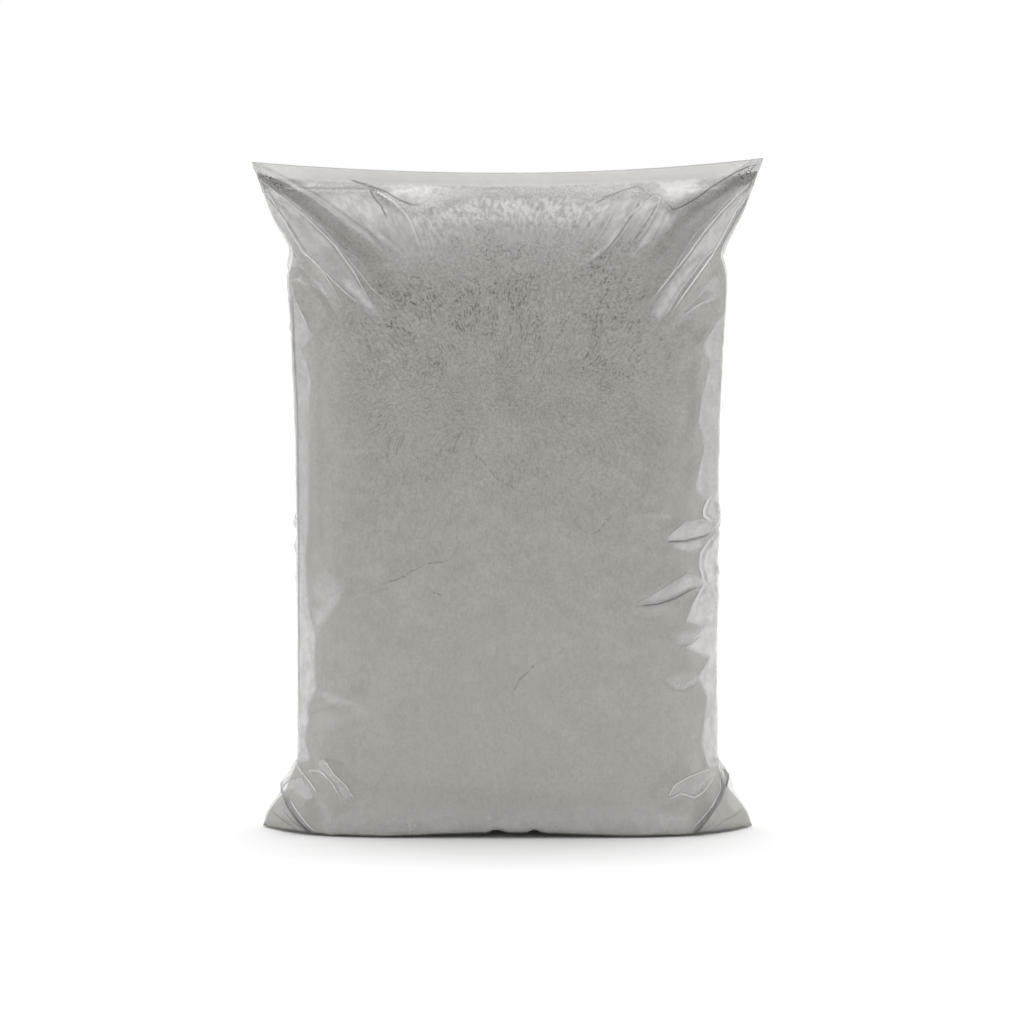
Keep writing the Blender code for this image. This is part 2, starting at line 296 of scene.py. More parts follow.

# Sharp creases in the film, in two groups so that close neighbours aren't in the same one: the line over the
# front face, how pale it is (whitened film with a painted highlight; below zero, how dark, as painted
# shade), and its half width, in millimetres. A crease's tone ends where the reach does.
CREASE_REACH = (0.0045, 0.0060)
CREASES = (
    (
        (LEFT_EAR[1], 0.75, 1.9),
        (LEFT_EAR[3], 1.0, 0.9),
        (LEFT_EAR[5], 0.9, 0.8),
        (RIGHT_EAR[3], 1.0, 0.9),
        (RIGHT_EAR[5], 1.0, 1.0),
        (((-107, 502), (-97, 496), (-88, 490), (-78, 479), (-72, 466), (-67, 453), (-62, 445)), 0.75, 1.2),
        (((74, 487), (60, 472), (52, 458), (48, 449)), 0.5, 1.2),
        (((195, 522), (178, 514), (160, 503), (148, 494), (136, 487), (129, 484), (124, 489),
            (119, 495)), -0.9, 1.1),
        (((-169, 432), (-166, 415), (-159, 402), (-151, 386)), 0.9, 0.8),
        (((136, 402), (144, 408), (153, 413), (165, 416)), 0.6, 1.0),
        (((121, 228), (136, 228), (152, 231), (163, 235)), -1.0, 1.2),
        (((100, 179), (116, 180), (129, 184), (141, 190), (153, 193)), -0.9, 1.1),
        (((157, 262), (152, 252), (152, 247), (162, 240)), 0.9, 1.6),
        (((161, 233), (150, 219), (149, 208), (153, 194), (142, 178)), 0.85, 1.6),
        (((126, 151), (133, 147), (141, 148), (152, 156)), -0.5, 0.8),
        (((118, 121), (127, 114), (136, 112), (146, 117), (151, 123)), -0.5, 0.8),
        (((-167, 53), (-162, 48), (-155, 41), (-149, 34), (-147, 27)), 0.9, 0.9),
        (((-180, 32), (-177, 27), (-173, 22), (-168, 15), (-161, 7), (-153, 1), (-140, -6),
            (-125, -12)), -1.0, 2.2),
        (((-142, 59), (-134, 48), (-125, 40), (-118, 30)), 0.95, 0.9),
        (((-187, 14), (-176, 9), (-165, 3), (-158, -1)), -0.7, 0.9),
        (((188, 16), (178, 12), (168, 9), (156, 0)), -0.6, 0.9),
        (((123, 29), (129, 40), (141, 46), (153, 49), (166, 49)), 0.8, 0.9),
        (((168, 51), (173, 42), (170, 32), (164, 23), (155, 12), (145, 1), (134, -7),
            (120, -14)), -1.0, 2.4),
        (((-168, 436), (-166.6, 380), (-163.6, 330), (-163, 200), (-163, 90), (-165, 56)), -0.8, 0.8),
    ),
    (
        (((-146, 474), (-131, 455), (-123, 445), (-113, 434), (-105, 423), (-93, 413),
            (-83, 402)), 0.8, 0.8),
        (((-190, 504), (-179, 484), (-169, 467), (-159, 451), (-147, 442), (-135, 429), (-123, 418),
            (-98, 398)), 0.9, 0.9),
        (((182, 503), (160, 479), (146, 466), (134, 447), (125, 431), (113, 416)), 0.8, 0.8),
        (((188, 504), (177, 482), (169, 466), (165, 457), (153, 447), (144, 435), (133, 421),
            (118, 396)), 0.8, 0.8),
        (((-125, 509), (-109, 504), (-95, 499), (-84, 492), (-74, 488), (-62, 488)), -0.9, 1.1),
        (((-110, 506), (-104, 494), (-98, 487), (-92, 474)), -0.8, 1.0),
        (((66, 488), (81, 496), (96, 502), (103, 503), (108, 498)), -0.55, 0.9),
        (((88, 472), (96, 481), (105, 488), (114, 496), (119, 494), (116, 484), (107, 468), (95, 453),
            (86, 440)), 0.5, 0.8),
        (((81, 481), (72, 465), (60, 451)), 0.6, 1.0),
        (((104, 492), (94, 476), (85, 463), (76, 452), (68, 444)), -0.7, 1.1),
        (((118, 492), (112, 480), (102, 466), (92, 453)), -0.6, 1.0),
        (((121, 229), (129, 236), (138, 243), (152, 244), (162, 238)), 0.5, 1.0),
        (((99, 180), (113, 187), (125, 195), (138, 202), (152, 199)), 0.45, 1.0),
        (((-170, 27), (-164, 19), (-157, 11), (-150, 4), (-142, -2)), 1.0, 0.8),
        (((-146, 51), (-136, 42), (-127, 28)), 0.9, 0.9),
        (((-157, 46), (-152, 50), (-145, 49), (-137, 43), (-131, 33)), 0.8, 0.8),
        (((-179, 27), (-176, 34), (-170, 40), (-160, 43)), -0.8, 0.8),
        (((-156, 92), (-150, 95), (-140, 98), (-130, 102)), -0.4, 1.2),
        (((-148, 61), (-135, 58), (-120, 56)), -0.35, 1.4),
        (((122, 28), (134, 33), (145, 29), (152, 33), (163, 46)), 0.8, 0.9),
        (((166, 44), (166, 34), (159, 23), (149, 12), (138, 1)), 0.9, 0.8),
        (((165, 450), (167, 457), (178, 477), (190, 497), (199, 524)), -0.8, 1.4),
    ),
)

# How pale the film is painted where a facet, a side strip or the bottom catches the light (painted light; on
# the side strips a painted reflection), or below zero how dark where it lies in painted shade; the milky
# patch under the middle of the top and the dark-specked ear tips are dust instead. Each entry: how much, how
# soft the rim is, and the outline over the front face, in millimetres.
LIGHT_SHADE_AND_DUST = (
    # Left ear: painted light on the facets that face the light, painted shade on those that face away
    (0.58, 1.2, ((-186, 503), (-159, 481), (-134, 455), (-118, 432), (-104, 410), (-97, 400), (-114, 413),
        (-135, 430), (-147, 442), (-158, 452), (-169, 468), (-186, 498))),
    (1.0, 4.0, ((-131, 433), (-121, 430), (-110, 420), (-102, 409), (-96, 400), (-105, 404), (-114, 413),
        (-124, 421))),
    (-0.36, 4.0, ((-190, 514), (-166, 502), (-150, 492), (-132, 479), (-113, 461), (-95, 440), (-77, 414),
        (-87, 407), (-105, 425), (-121, 444), (-131, 457), (-147, 474), (-166, 490), (-184, 503))),
    (0.85, 3.0, ((-118, 482), (-106, 474), (-94, 464), (-83, 455), (-76, 444), (-97, 458), (-108, 467))),
    (0.50, 2.5, ((-101, 496), (-90, 488), (-80, 475), (-72, 460), (-78, 460), (-88, 474), (-96, 486))),
    (0.90, 2.5, ((98, 497), (92, 484), (83, 469), (73, 456), (61, 443), (80, 454), (92, 467), (101, 483),
        (104, 494))),
    (0.85, 2.5, ((122, 492), (117, 482), (108, 468), (95, 446), (111, 459), (122, 475), (127, 486))),
    # Dust: the milky patch under the middle of the top
    (0.35, 8.0, ((-50, 488), (50, 488), (32, 470), (18, 455), (4, 449), (-12, 458), (-34, 474))),
    # Painted light: the bottom painted brighter
    (0.45, 12.0, ((-145, -12), (-145, 20), (-60, 24), (60, 24), (140, 20), (140, -12))),
    # Dust: the tip of the left ear, dark and specked
    (-0.9, 3.0, ((-197, 520), (-186, 514), (-169, 502), (-179, 498), (-190, 507))),
    (0.45, 1.0, ((-170, 449), (-161, 451), (-160, 443), (-154, 435), (-169, 441))),
    (0.45, 1.5, ((-169, 430), (-155, 434), (-144, 428), (-135, 415), (-152, 424), (-162, 428))),
    (-0.30, 2.0, ((-165, 428), (-151, 424), (-147, 415), (-152, 392), (-159, 403), (-164, 418))),
    # Painted reflection: the bright strips down the left side, then painted shade just inside them
    (0.50, 1.5, ((-180, 431), (-169, 429), (-166, 415), (-159, 401), (-151, 385), (-160, 376),
        (-155, 365), (-152, 351), (-153, 329), (-153, 290), (-154, 240), (-156, 212), (-180, 212))),
    (0.80, 2.5, ((-180, 230), (-157, 224), (-155, 191), (-153, 170), (-148, 156), (-149, 133),
        (-148, 113), (-155, 99), (-154, 89), (-158, 74), (-152, 57), (-167, 53), (-180, 53))),
    (-0.35, 5.0, ((-151, 372), (-140, 372), (-138, 300), (-138, 225), (-152, 225), (-151, 300))),
    # Painted light on the soft folds of the left side and its lower corner
    (0.40, 2.5, ((-141, 205), (-125, 192), (-131, 182), (-143, 166), (-147, 150), (-151, 170),
        (-152, 195))),
    (0.40, 3.0, ((-148, 112), (-140, 113), (-128, 109), (-116, 104), (-128, 102), (-142, 105))),
    (0.30, 5.0, ((-152, 92), (-140, 96), (-120, 92), (-132, 84), (-146, 80))),
    (0.28, 4.0, ((-119, 102), (-112, 103), (-103, 97), (-110, 92), (-118, 95))),
    (0.32, 2.5, ((-146, 54), (-134, 55), (-119, 51), (-130, 48), (-141, 50))),
    # Right ear: painted light on the facets that face the light, painted shade on those that face away
    (0.58, 1.2, ((182, 499), (166, 481), (148, 461), (135, 442), (125, 427), (116, 415), (110, 404),
        (116, 398), (125, 408), (134, 423), (144, 437), (156, 450), (165, 459), (169, 468), (177, 484),
        (185, 498))),
    (1.0, 4.0, ((141, 442), (153, 449), (144, 437), (134, 423), (125, 408), (116, 398), (113, 405),
        (118, 415), (126, 427), (134, 437))),
    (-0.38, 4.0, ((181, 511), (166, 501), (149, 491), (135, 480), (121, 465), (111, 449), (104, 435),
        (106, 419), (118, 426), (130, 440), (142, 455), (154, 471), (166, 486), (180, 501))),
    # Dust: the tip of the right ear, dark and specked
    (-0.9, 3.0, ((198, 525), (190, 521), (176, 512), (178, 505), (190, 507), (197, 519))),
    # Painted light and painted shade on the folds under the right ear
    (0.35, 2.0, ((153, 428), (165, 432), (166, 417), (147, 410), (136, 402))),
    (-0.32, 3.0, ((166, 414), (159, 393), (150, 379), (141, 385), (134, 393), (147, 404), (159, 412))),
    # Painted shade just inside the bright strips down the right side, then the painted reflection of the
    # strips
    (-0.35, 5.0, ((148, 366), (138, 360), (134, 300), (136, 262), (146, 264), (149, 300))),
    (0.55, 1.2, ((180, 404), (168, 403), (160, 393), (151, 379), (154, 372), (157, 365), (153, 348),
        (150, 337), (147, 319), (151, 308), (152, 297), (147, 281), (145, 268), (152, 260), (180, 260))),
    (0.80, 1.5, ((180, 270), (157, 262), (152, 252), (152, 247), (162, 240), (161, 233), (150, 219),
        (149, 208), (153, 194), (143, 181), (138, 166), (152, 161), (138, 146), (157, 136), (148, 123),
        (155, 105), (150, 69), (157, 50), (180, 50))),
    # Painted light on the leaves and folds of the two stars
    (0.65, 1.0, ((121, 229), (129, 236), (138, 243), (152, 244), (162, 238), (161, 234), (147, 230),
        (134, 228))),
    (0.50, 1.2, ((122, 228), (129, 222), (141, 219), (150, 223), (157, 230), (145, 228), (134, 227))),
    (0.30, 2.5, ((91, 248), (104, 251), (118, 253), (134, 247), (118, 246), (102, 247))),
    (0.55, 1.2, ((99, 180), (113, 187), (125, 195), (138, 202), (152, 199), (153, 194), (138, 191),
        (125, 184), (111, 180))),
    (0.30, 2.5, ((99, 178), (112, 180), (126, 183), (122, 175), (109, 170))),
    (0.40, 2.5, ((126, 151), (129, 155), (138, 159), (152, 161), (151, 154), (141, 148), (129, 149))),
    (0.35, 2.5, ((118, 122), (129, 125), (141, 124), (150, 122), (146, 117), (136, 113), (125, 116))),
    # Base corners: painted light on the facets of their folds, painted shade in the dark crescent on the
    # right
    (0.45, 1.2, ((-174, 34), (-167, 33), (-157, 27), (-148, 27), (-154, 36), (-162, 45), (-167, 42))),
    (0.52, 1.6, ((-146, 58), (-142, 59), (-134, 48), (-125, 40), (-117, 30), (-128, 29), (-136, 42),
        (-146, 51))),
    (0.35, 2.0, ((-191, 3), (-185, 11), (-179, 18), (-172, 18), (-167, 11), (-177, 12))),
    (0.38, 2.0, ((123, 29), (129, 40), (141, 46), (153, 49), (165, 49), (160, 40), (152, 33), (145, 29),
        (134, 33))),
    (-0.35, 1.5, ((166, 50), (173, 44), (172, 34), (166, 24), (157, 13), (146, 1), (138, -4), (150, 10),
        (160, 24), (166, 36))),
    (0.35, 2.0, ((174, 34), (180, 26), (188, 12), (178, 14), (170, 22))),
)


def smooth_step(low, high, value):
    t = np.clip((value - low) / (high - low), 0.0, 1.0)
    return t * t * (3.0 - 2.0 * t)


def hump(value, middle, reach):
    return np.exp(-(((value - middle) / reach) ** 2))


def make_camera():
    """A long lens a little above the middle of the sack, looking slightly down."""
    data = bpy.data.cameras.new("camera")
    camera = bpy.data.objects.new("camera", data)
    bpy.context.scene.collection.objects.link(camera)
    metres_per_pixel = MM_PER_PIXEL / 1000
    aim_x = (FRAME_PIXELS / 2 - SACK_PIXEL_X) * metres_per_pixel
    aim_z = (FLOOR_PIXEL_Y - FRAME_PIXELS / 2) * metres_per_pixel
    camera.location = (aim_x, -CAMERA_DISTANCE, CAMERA_HEIGHT)
    tilt = math.atan2(CAMERA_HEIGHT - aim_z, CAMERA_DISTANCE)
    camera.rotation_euler = (math.pi / 2 - tilt, 0.0, 0.0)
    reach = math.hypot(CAMERA_DISTANCE, CAMERA_HEIGHT - aim_z)
    data.sensor_width = 36.0
    data.lens = data.sensor_width * reach / (FRAME_PIXELS * metres_per_pixel)
    data.clip_end = 50.0
    bpy.context.scene.camera = camera


def sections_at(heights):
    """The half width, half depth, fullness and bluntness at each height, on a smooth curve."""
    table = np.array(SECTIONS)
    stations, values = table[:, 0], table[:, 1:]
    k = np.clip(np.searchsorted(stations, heights, side="right") - 1, 0, len(stations) - 2)
    before, after = np.maximum(k - 1, 0), np.minimum(k + 2, len(stations) - 1)
    span = (stations[k + 1] - stations[k])[:, None]
    leaving = (values[k + 1] - values[before]) / (stations[k + 1] - stations[before])[:, None] * span
    arriving = (values[after] - values[k]) / (stations[after] - stations[k])[:, None] * span
    t = ((heights - stations[k])[:, None]) / span
    return (
        (2 * t**3 - 3 * t**2 + 1) * values[k]
        + (t**3 - 2 * t**2 + t) * leaving
        + (3 * t**2 - 2 * t**3) * values[k + 1]
        + (t**3 - t**2) * arriving
    )


def ear_lift(x, z):
    rise = np.where(x < 0, LEFT_EAR_RISE, RIGHT_EAR_RISE)
    return rise * (x / HALF_TUBE) ** 2 * smooth_step(EAR_RISE_STARTS, TOP_EDGE_HEIGHT, z)


def points_along(points, along, wanted):
    """The line of points, read at the wanted distances along it."""
    return np.stack([np.interp(wanted, along, points[:, i]) for i in range(points.shape[1])], axis=1)


def distances_along(points):
    steps = np.linalg.norm(np.diff(points, axis=0), axis=1)
    return np.concatenate([[0.0], np.cumsum(steps)])


def half_section(half_width, half_depth, fullness, bluntness, count):
    """Points at equal steps along the front of one section, from the left crease to the right."""
    angle = np.linspace(math.pi, 0.0, CURVE_STEPS)
    x = np.cos(angle)
    y = -(np.maximum(0.0, 1.0 - np.abs(x) ** fullness) ** bluntness)
    line = np.stack([x * half_width, y * half_depth], axis=1)
    along = distances_along(line)
    return points_along(line, along, np.linspace(0.0, along[-1], count + 1))


def base_arch(x):
    """How far the film's front edge is off the floor: a low arch with two small tucks in it."""
    half_span, rise = BASE_ARCH
    arch = rise * (1.0 - smooth_step(0.0, half_span, np.abs(x)))
    return arch + sum(height * hump(x, place, width) for place, width, height in BASE_TUCKS)


def dense_front():
    """The front film as dense columns, each from the base weld to the top weld's foot."""
    heights = np.linspace(0.0, WELD_FOOT, DENSE_ROWS)
    shape = sections_at(heights)
    rows = []
    outline = half_section(*shape[0], ACROSS)
    seam_x = np.linspace(-HALF_BASE, HALF_BASE, ACROSS + 1)
    for t in np.linspace(0.0, 1.0, BASE_ROWS)[:-1]:
        x = seam_x * (1 - t) + outline[:, 0] * t
        rows.append(np.stack([x, outline[:, 1] * t, BASE_HEIGHT + base_arch(x) * t**3], axis=1))
    for height, numbers in zip(heights, shape):
        half = half_section(*numbers, ACROSS)
        z = np.maximum(height, BASE_HEIGHT + base_arch(half[:, 0]))
        z = z + ear_lift(half[:, 0], np.full(len(half), height))
        rows.append(np.stack([half[:, 0], half[:, 1], z], axis=1))
    return np.array(rows)


def surplus_share(points):
    """Where along a column the film that is too long for it gathers: at the ears, the base and the stars."""
    x, z = points[:, 0], points[:, 2]
    share = 0.10 + smooth_step(0.40, 0.45, z) + 1.0 - smooth_step(0.030, 0.070, z)
    stars = sum(amount * hump(z, height, reach) for height, reach, amount in GATHERS)
    return share + 0.35 * stars * (x > 0)


def gathered(column, length):
    """A column's points at equal steps of its film, which is longer than the column where it gathers."""
    along = distances_along(column)
    share = surplus_share(column)
    gathers = np.concatenate([[0.0], np.cumsum(0.5 * (share[1:] + share[:-1]) * np.diff(along))])
    film = along + (length - along[-1]) * gathers / gathers[-1]
    return points_along(column, film, np.linspace(0.0, length, ROWS + 1))


def sack_grid():
    """The filled sack's film as a grid: rows from the base weld to the top edge, columns round the tube."""
    dense = dense_front()
    length = np.linalg.norm(np.diff(dense, axis=0), axis=2).sum(axis=0).max()
    front = np.stack([gathered(dense[:, c], length) for c in range(ACROSS + 1)], axis=1)
    rows = list(front)
    for j in range(1, WELD_ROWS + 1):
        height = WELD_FOOT + j * WELD_HEIGHT / WELD_ROWS
        x = np.linspace(-1, 1, ACROSS + 1) * (HALF_TUBE - WELD_TAPER * (TOP_EDGE_HEIGHT - height))
        z = height + ear_lift(x, np.full(len(x), height))
        rows.append(np.stack([x, np.full(len(x), -HALF_WELD), z], axis=1))
    front = np.array(rows)
    back = front[:, -2:0:-1] * np.array([1.0, -1.0, 1.0])
    return np.concatenate([front, back], axis=1)


def grid_normals(points):
    across = np.roll(points, -1, axis=1) - np.roll(points, 1, axis=1)
    along = np.gradient(points, axis=0)
    normal = np.cross(across, along)
    return normal / np.maximum(np.linalg.norm(normal, axis=2, keepdims=True), 1e-12)


def pull(first, second, rest, stiffness):
    """Moves two sets of points along the lines between them towards their distance in the flat film."""
    gap = second - first
    length = np.linalg.norm(gap, axis=2)
    move = gap * (0.5 * stiffness * (1.0 - rest / np.maximum(length, 1e-9)))[..., None]
    first += move
    second -= move


def turned(values, columns):
    return np.roll(values, -columns, axis=1)


def film_lengths(guide, surplus):
    """How long the film is between neighbouring points: a little longer than the shape that it lies on."""
    spans = {}
    pairs = {"across": (guide, turned(guide, 1)), "along": (guide[:-1], guide[1:])}
    pairs["rising"] = (guide[:-1], turned(guide, 1)[1:])
    pairs["falling"] = (guide[:-1], turned(guide, -1)[1:])
    for name, (first, second) in pairs.items():
        spans[name] = np.linalg.norm(second - first, axis=2) * (1.0 + surplus[: len(first)])
    return spans


def pull_rows(points, spans, turn, stiffness):
    """Pulls each row and the next one, in two sets that don't share a row."""
    for start in (0, 1):
        end = start + (len(points) - start) // 2 * 2
        lower = points[start:end:2].copy()
        upper = turned(points[start + 1 : end : 2], turn).copy()
        pull(lower, upper, spans[start : end - 1 : 2], stiffness)
        points[start:end:2] = lower
        points[start + 1 : end : 2] = turned(upper, -turn)


def stiffened(shift, bend):
    """Smooths how far the points have moved, the more the sharper it bends, as the film's stiffness does."""
    bow = 0.5 * (turned(shift, 1) + turned(shift, -1)) - shift
    shift = shift + bend * (bow - 0.5 * (turned(bow, 1) + turned(bow, -1)))
    bow = np.zeros_like(shift)
    bow[1:-1] = 0.5 * (shift[2:] + shift[:-2]) - shift[1:-1]
    spread = bow.copy()
    spread[1:-1] -= 0.5 * (bow[2:] + bow[:-2])
    return shift + bend * spread


def relax(points, guide, normal, spans, fixed, limit, rounds, bend, hold):
    """Lets the film find its own length, so that what is too long for the shape buckles into wrinkles."""
    for _ in range(rounds):
        for start in (0, 1):
            shifted = turned(points, start).copy()
            rest = turned(spans["across"], start)
            left, right = shifted[:, 0::2].copy(), shifted[:, 1::2].copy()
            pull(left, right, rest[:, 0::2], 1.0)
            shifted[:, 0::2], shifted[:, 1::2] = left, right
            points = turned(shifted, -start).copy()
        pull_rows(points, spans["along"], 0, 1.0)
        pull_rows(points, spans["rising"], 1, 0.3)
        pull_rows(points, spans["falling"], -1, 0.3)
        shift = stiffened(points - guide, bend)
        lift = (shift * normal).sum(axis=2, keepdims=True)
        slide = (shift - normal * lift) * (1.0 - hold)
        shift = slide + normal * np.clip(lift, *limit)
        points = guide + np.where(fixed, 0.0, shift)
    return points


def finer(values):
    """The same grid with twice the points each way."""
    wide = np.empty((values.shape[0], values.shape[1] * 2, values.shape[2]))
    wide[:, 0::2] = values
    wide[:, 1::2] = (
        9 * (values + np.roll(values, -1, axis=1)) - np.roll(values, 1, axis=1) - np.roll(values, -2, axis=1)
    ) / 16
    tall = np.empty((values.shape[0] * 2 - 1, wide.shape[1], values.shape[2]))
    tall[0::2] = wide
    tall[1::2] = 0.5 * (wide[1:] + wide[:-1])
    tall[3:-3:2] = (9 * (wide[1:-2] + wide[2:-1]) - wide[:-3] - wide[3:]) / 16
    return tall


def facet_relief(x, z, lines):
    """How proud the film stands over flat facets between the given lines, and zero outside them."""
    corners, edges, proud = [], [], []
    for line in lines:
        start = len(corners)
        corners += [Vector((px / 1000, pz / 1000)) for px, pz, *_ in line]
        proud += [sum(rise) / 1000 for _, _, *rise in line]
        edges += [(i, i + 1) for i in range(start, len(corners) - 1)]
    points, _, triangles, sources, _, _ = delaunay_2d_cdt(corners, edges, [], 0, 1e-6)
    heights = [proud[source[0]] if source else 0.0 for source in sources]
    relief = np.zeros(x.shape)
    for triangle in triangles:
        (ax, az), (bx, bz), (cx, cz) = [points[i] for i in triangle]
        area = (bx - ax) * (cz - az) - (cx - ax) * (bz - az)
        if abs(area) < 1e-12:
            continue
        near = (x >= min(ax, bx, cx)) & (x <= max(ax, bx, cx))
        near &= (z >= min(az, bz, cz)) & (z <= max(az, bz, cz))
        u = ((x[near] - ax) * (cz - az) - (cx - ax) * (z[near] - az)) / area
        v = ((bx - ax) * (z[near] - az) - (x[near] - ax) * (bz - az)) / area
        inside = (u >= 0) & (v >= 0) & (u + v <= 1)
        first, second, third = [heights[i] for i in triangle]
        value = first + u * (second - first) + v * (third - first)
        relief[near] = np.where(inside, value, relief[near])
    return relief


def near_line(x, z, line):
    """How far each point is from a line, on which side of it, and how far along it, from 0 to 1."""
    line = np.array([corner[:2] for corner in line], float) / 1000.0
    best = np.full(x.shape, 1e9)
    side = np.ones(x.shape)
    along = np.zeros(x.shape)
    steps = np.linalg.norm(np.diff(line, axis=0), axis=1)
    passed = 0.0
    for first, second, step in zip(line, line[1:], steps):
        way = (second - first) / step
        t = np.clip((x - first[0]) * way[0] + (z - first[1]) * way[1], 0.0, step)
        gap_x, gap_z = x - first[0] - way[0] * t, z - first[1] - way[1] * t
        gap = np.hypot(gap_x, gap_z)
        closer = gap < best
        best = np.where(closer, gap, best)
        side = np.where(closer, np.sign(way[0] * gap_z - way[1] * gap_x), side)
        along = np.where(closer, (passed + t) / steps.sum(), along)
        passed += step
    return best, side, along


def inside_outline(x, z, corners):
    """Whether each point is inside an outline."""
    inside = np.zeros(x.shape, bool)
    for (ax, az), (bx, bz) in zip(corners, corners[1:] + corners[:1]):
        ax, az, bx, bz = ax / 1000.0, az / 1000.0, bx / 1000.0, bz / 1000.0
        if az == bz:
            continue
        crosses = ((az > z) != (bz > z)) & (x < (bx - ax) * (z - az) / (bz - az) + ax)
        inside ^= crosses
    return inside


def light_shade_and_dust_of(x, z):
    """How pale the film is painted where it catches the light, or below zero how dark in painted shade; dust
    at a few places.
    """
    shade = np.zeros(x.shape)
    for amount, soft, corners in LIGHT_SHADE_AND_DUST:
        gap = near_line(x, z, corners + corners[:1])[0] * 1000.0
        signed = np.where(inside_outline(x, z, corners), gap, -gap)
        part = amount * smooth_step(-soft, soft, signed)
        shade = np.where(np.abs(part) > np.abs(shade), part, shade)
    return shade


def evened_at_sides(values, points, normal):
    """The grid's values, but soft at the body's sides, and alike in front of and behind the side creases."""
    sides = smooth_step(0.80, 0.97, np.abs(normal[..., 0])) * (1.0 - smooth_step(0.42, 0.45, points[..., 2]))
    values = values + sides * (smoothed(values, SIDE_PASSES) - values)
    other = np.roll(values[:, ::-1], 1, axis=1)
    near = 1.0 - smooth_step(0.0, SIDE_BLEND, np.abs(points[..., 1]))
    return values + 0.5 * sides * near * (other - values)


def nearest_of(x, z, lines):
    """The nearest of the lines: how far off it is, on which side, how far along it, and its number."""
    found = np.array([near_line(x, z, line) for line in lines])
    number = found[:, 0].argmin(axis=0)
    gap, side, along = np.take_along_axis(found, number[None, None], axis=0)[0]
    return gap, side * gap, along, number


def crease_of(x, z, creases, share):
    """The nearest crease: how far off on which side, how pale or dark it is, and its half width."""
    lines, tones, half_widths = zip(*creases)
    gap, signed, along, number = nearest_of(x, z, lines)
    ends = smooth_step(0.0, 0.10, along) * (1.0 - smooth_step(0.75, 1.0, along))
    tone = np.array(tones)[number] * ends * (1.0 - smooth_step(*CREASE_REACH, gap)) * share
    return np.stack([signed, tone, np.array(half_widths)[number] / 1000.0], axis=-1)


def on_front(points):
    """Where each point is over the front face, or would be with the back turned round and moved onto it."""
    front = points[..., 1] < 0
    x = np.where(front, points[..., 0], BACK_STRETCH * points[..., 0] + BACK_SHIFT[0])
    z = np.where(front, points[..., 2], points[..., 2] + BACK_SHIFT[1])
    return x, z


def crest_relief(x, z, line, proud, left, right):
    """A single fold: sharp on its crest, hollow in its flanks, and dying out at both ends."""
    gap, side, along = near_line(x, z, line)
    width = np.where(side > 0, left, right) / 1000.0
    flank = np.maximum(0.0, 1.0 - gap / width)
    ends = smooth_step(0.0, 0.25, along) * (1.0 - smooth_step(0.7, 1.0, along))
    return proud / 1000.0 * flank**1.5 * (0.15 + 0.85 * ends) * np.minimum(1.0, 4 * ends + 0.2)


def front_folds(x, z):
    relief = np.zeros(x.shape)
    for lines in FACETS:
        relief += facet_relief(x, z, lines)
    for line, proud, left, right in CRESTS:
        relief += crest_relief(x, z, line, proud, left, right)
    return relief


def fold_relief(home):
    """The folds on both faces."""
    y, z = home[..., 1], home[..., 2]
    share = np.where(y < 0, 1.0, 0.8) * smooth_step(0.0, 0.004, np.abs(y))
    share = share * smooth_step(0.0, 0.006, z) * (1.0 - smooth_step(WELD_FOOT - 0.006, WELD_FOOT, z))
    return front_folds(*on_front(home)) * share


def limits(home, normal):
    """How far the film may move in and out from its guiding shape at each point."""
    y, z = home[..., 1], home[..., 2]
    upper = smooth_step(0.40, 0.46, z)
    sides = np.abs(normal[..., 0]) ** 2
    ears = upper * smooth_step(0.07, 0.13, np.abs(home[..., 0]))
    low = -0.0002 - 0.0006 * sides - 0.0003 * upper - 0.0005 * ears
    high = 0.0002 + 0.0008 * sides + 0.0004 * upper + 0.0008 * ears
    low = np.maximum(low, -np.maximum(np.abs(y) - 2 * HALF_WELD, 0.0))
    base = normal[..., 2] < -0.9
    low = np.where(base, -0.0015, low)
    high = np.where(base, 0.0, high)
    return low[..., None], high[..., None]


def surplus_of(home):
    """How much longer the film is than the shape it lies on, as a share: most at the ears and the top."""
    x, z = home[..., 0], home[..., 2]
    return 0.0015 + 0.003 * smooth_step(0.09, 0.15, np.abs(x)) + 0.008 * smooth_step(0.42, 0.47, z)


def smoothed_noise(rng, shape, passes):
    noise = rng.normal(size=shape)
    for _ in range(passes):
        sides = np.roll(noise, 1, 0) + np.roll(noise, -1, 0) + np.roll(noise, 1, 1) + np.roll(noise, -1, 1)
        noise = 0.5 * noise + 0.125 * sides
    return noise / noise.std()


def make_film_points():
    """The film's grid, relaxed, with the folds in it, and the unfolded shape that it started from."""
    rng = np.random.default_rng(SEED)
    home = sack_grid()
    shift = np.zeros(home.shape)
    for level in range(REFINEMENTS + 1):
        if level:
            home, shift = finer(home), finer(shift)
        normal = grid_normals(home)
        guide = home + normal * fold_relief(home)[..., None]
        spans = film_lengths(guide, surplus_of(home))
        fixed = np.zeros((*home.shape[:2], 1), bool)
        fixed[0] = True
        fixed[-WELD_ROWS * 2**level - 1 :] = True
        push = NOISE[level] * smoothed_noise(rng, home.shape[:2], 3)
        points = guide + shift + normal * (push[..., None] * ~fixed)
        limit = limits(home, normal)
        points = relax(points, guide, normal, spans, fixed, limit, ROUNDS[level], BENDS[level], HOLDS[level])
        shift = points - guide
    return points, home, normal


